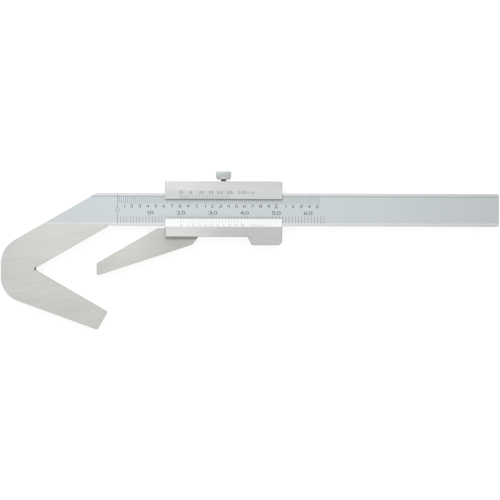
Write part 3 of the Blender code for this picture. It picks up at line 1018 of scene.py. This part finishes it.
def makeRidge(size, root, length):
    # a triangle with its tip outwards, wound round the core from near the stem's end
    corner = size["pitch"] / 2
    sunk = size["threadDepth"] * size["ridgeSink"]
    tall = size["threadDepth"] + sunk
    bpy.ops.mesh.primitive_circle_add(vertices=3, radius=corner, rotation=(math.pi / 2, 0, -math.pi / 2))
    ridge = settle(named("stem_ridge"))
    ridge.rotation_euler = (0, math.pi / 2, 0)
    settle(ridge)
    # it is 1.5 corners tall as added, and its middle is a third of the way up
    ridge.location = (root - sunk + tall / 3, 0, -length + size["pitch"])
    ridge.scale = (tall / (1.5 * corner), 1, size["ridgeWidth"])
    settle(ridge)
    winding = ridge.modifiers.new("thread", "SCREW")
    winding.axis = "Z"
    winding.screw_offset = size["pitch"]
    winding.iterations = int(length / size["pitch"]) - 1
    winding.steps = size["ridgeSteps"]
    winding.render_steps = size["ridgeSteps"]
    winding.use_merge_vertices = False
    bpy.ops.object.modifier_apply(modifier=winding.name)
    bpy.ops.object.mode_set(mode="EDIT")
    bpy.ops.mesh.select_all(action="SELECT")
    bpy.ops.mesh.fill_holes(sides=0)
    turnFacesOut()
    return ridge


def makeThreadedStem(size, length):
    # the core is turned down to the root of the thread, and the ridge winds round it
    root = size["threadRadius"] - size["threadDepth"]
    pointIn, pointRise = size["pointChamfer"]
    bpy.ops.mesh.primitive_cylinder_add(
        vertices=size["stemSides"], radius=root, depth=length, location=(0, 0, -length / 2)
    )
    core = settle(named("stem_core"))
    editFaces(core, facing(-1, -length))
    extrudeUp(-pointRise)
    shrinkRing(1 - pointIn / root)
    backToObject()
    stem = joined("clamp_screw_stem", [core, makeRidge(size, root, length)])
    bpy.ops.object.shade_smooth_by_angle(angle=size["stemSmooth"])
    return stem


def makeClampScrew(size):
    # made upright about its own axis, then laid along +Y through the slider's top wall
    seatY = screwHigh.y - size["headHeight"]
    axis = ((screwLow.x + screwHigh.x) / 2, seatY, (screwLow.z + screwHigh.z) / 2)
    head = makeKnurledHead(size)
    stem = makeThreadedStem(size, seatY - screwLow.y)
    for part in (head, stem):
        part.rotation_euler = (-math.pi / 2, 0, 0)
        part.location = axis
        settle(part)
    head.name = "clamp_screw_head"
    finishPiece(head, "nickel", "clamp")
    # the stem's oiled black finish also stands in for the shade under the head
    finishPiece(stem, "black", "clamp")
    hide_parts("clamp_screw")
    print("clamp screw:", size["knurls"], "knurls")


makeClampScrew(clampScrew)


# Camera: straight above, square to the scale face, turned a little as the photograph is

view = {
    "width": 236.07 * mm,
    "lens": 250.0,
    "sensor": 36.0,
    "centreX": apexX + 102.145 * mm,
    "centreY": apexY + 9.18 * mm,
    "roll": math.radians(0.17),
    "clip": (0.05, 20.0),
}


def setCamera(size):
    bpy.ops.object.camera_add()
    camera = bpy.context.object
    camera.name = "readingCamera"
    camera.data.lens = size["lens"]
    camera.data.sensor_width = size["sensor"]
    height = size["width"] * size["lens"] / size["sensor"]
    camera.location = (size["centreX"], size["centreY"], faces["recessZ"] + height)
    camera.rotation_euler = (0, 0, size["roll"])
    camera.data.clip_start, camera.data.clip_end = size["clip"]
    scene.camera = camera
    print("camera", round(height, 4), "m above the scale face")


# Studio: pale floor, white surroundings, two softboxes over the clamp screw's side and a weak one overhead

studio = {
    "floorSize": 8.0,
    "floorZ": -0.05 * mm,
    "floorGlow": 0.83,
    "floorTone": (0.80, 0.80, 0.80),
    "floorRoughness": 0.9,
    "shadowTone": (0.22, 0.22, 0.22),
    "surroundings": 0.85,
    "surroundingsSeen": 1.0,
    "softboxDistance": 0.9,
    "softboxX": -0.17,
    "keyPower": 3.2,
    "keySize": (0.75, 0.20),
    "keyAngle": math.radians(33.0),
    "sidePower": 0.7,
    "sideSize": (0.9, 0.25),
    "sideAngle": math.radians(62.0),
    "fillPower": 0.05,
    "fillSize": (0.5, 0.5),
    "fillPlace": (-0.25, 0.10, 0.55),
}


def whiteRay(tree):
    # 1 for the camera and for reflected and transmitted rays, so that metal shows the white as well
    path = put(tree, "ShaderNodeLightPath")
    seen = maths(tree, "MAXIMUM", path.outputs["Is Camera Ray"], path.outputs["Is Glossy Ray"])
    return maths(tree, "MAXIMUM", seen, path.outputs["Is Transmission Ray"])


def makeFloor(size):
    bpy.ops.mesh.primitive_plane_add(size=size["floorSize"], location=(0, 0, size["floorZ"]))
    floor = named("floor")
    settle(floor)
    finish = bpy.data.materials.new("pale floor")
    finish.use_nodes = True
    tree = finish.node_tree
    shader = tree.nodes["Principled BSDF"]
    shader.inputs["Base Color"].default_value = opaque(size["floorTone"])
    shader.inputs["Roughness"].default_value = size["floorRoughness"]
    shader.inputs["Specular IOR Level"].default_value = 0.0
    # what the camera and the metal see is nearly white by itself, and keeps a faint shadow
    glow = put(tree, "ShaderNodeEmission", {"Color": (1, 1, 1, 1), "Strength": size["floorGlow"]})
    lit = put(tree, "ShaderNodeBsdfDiffuse", {"Color": opaque(size["shadowTone"])})
    both = put(tree, "ShaderNodeAddShader", {0: lit.outputs[0], 1: glow.outputs[0]})
    chosen = put(tree, "ShaderNodeMixShader", {0: whiteRay(tree), 1: shader.outputs[0], 2: both.outputs[0]})
    tree.links.new(chosen.outputs[0], tree.nodes["Material Output"].inputs["Surface"])
    floor.data.materials.append(finish)


def makeSurroundings(size):
    world = bpy.data.worlds.new("white surroundings")
    scene.world = world
    world.use_nodes = True
    tree = world.node_tree
    strength = mixValues(tree, whiteRay(tree), size["surroundings"], size["surroundingsSeen"])
    background = tree.nodes["Background"]
    background.inputs["Color"].default_value = (1, 1, 1, 1)
    tree.links.new(strength, background.inputs["Strength"])


def addSoftbox(name, power, size, place):
    bpy.ops.object.light_add(type="AREA", location=place)
    lamp = bpy.context.object
    lamp.name = name
    lamp.data.energy = power
    lamp.data.shape = "RECTANGLE"
    lamp.data.size, lamp.data.size_y = size
    lamp.visible_camera = False
    lamp.rotation_euler = (-Vector(place)).to_track_quat("-Z", "Y").to_euler()


def makeStudio(size):
    makeFloor(size)
    makeSurroundings(size)
    away = size["softboxDistance"]
    for name in ("key", "side"):
        angle = size[name + "Angle"]
        place = (size["softboxX"], away * math.sin(angle), away * math.cos(angle))
        addSoftbox(name + "Softbox", size[name + "Power"], size[name + "Size"], place)
    addSoftbox("overheadSoftbox", size["fillPower"], size["fillSize"], size["fillPlace"])
    scene.view_settings.view_transform = "Standard"
    print("studio set")


setCamera(view)
makeStudio(studio)
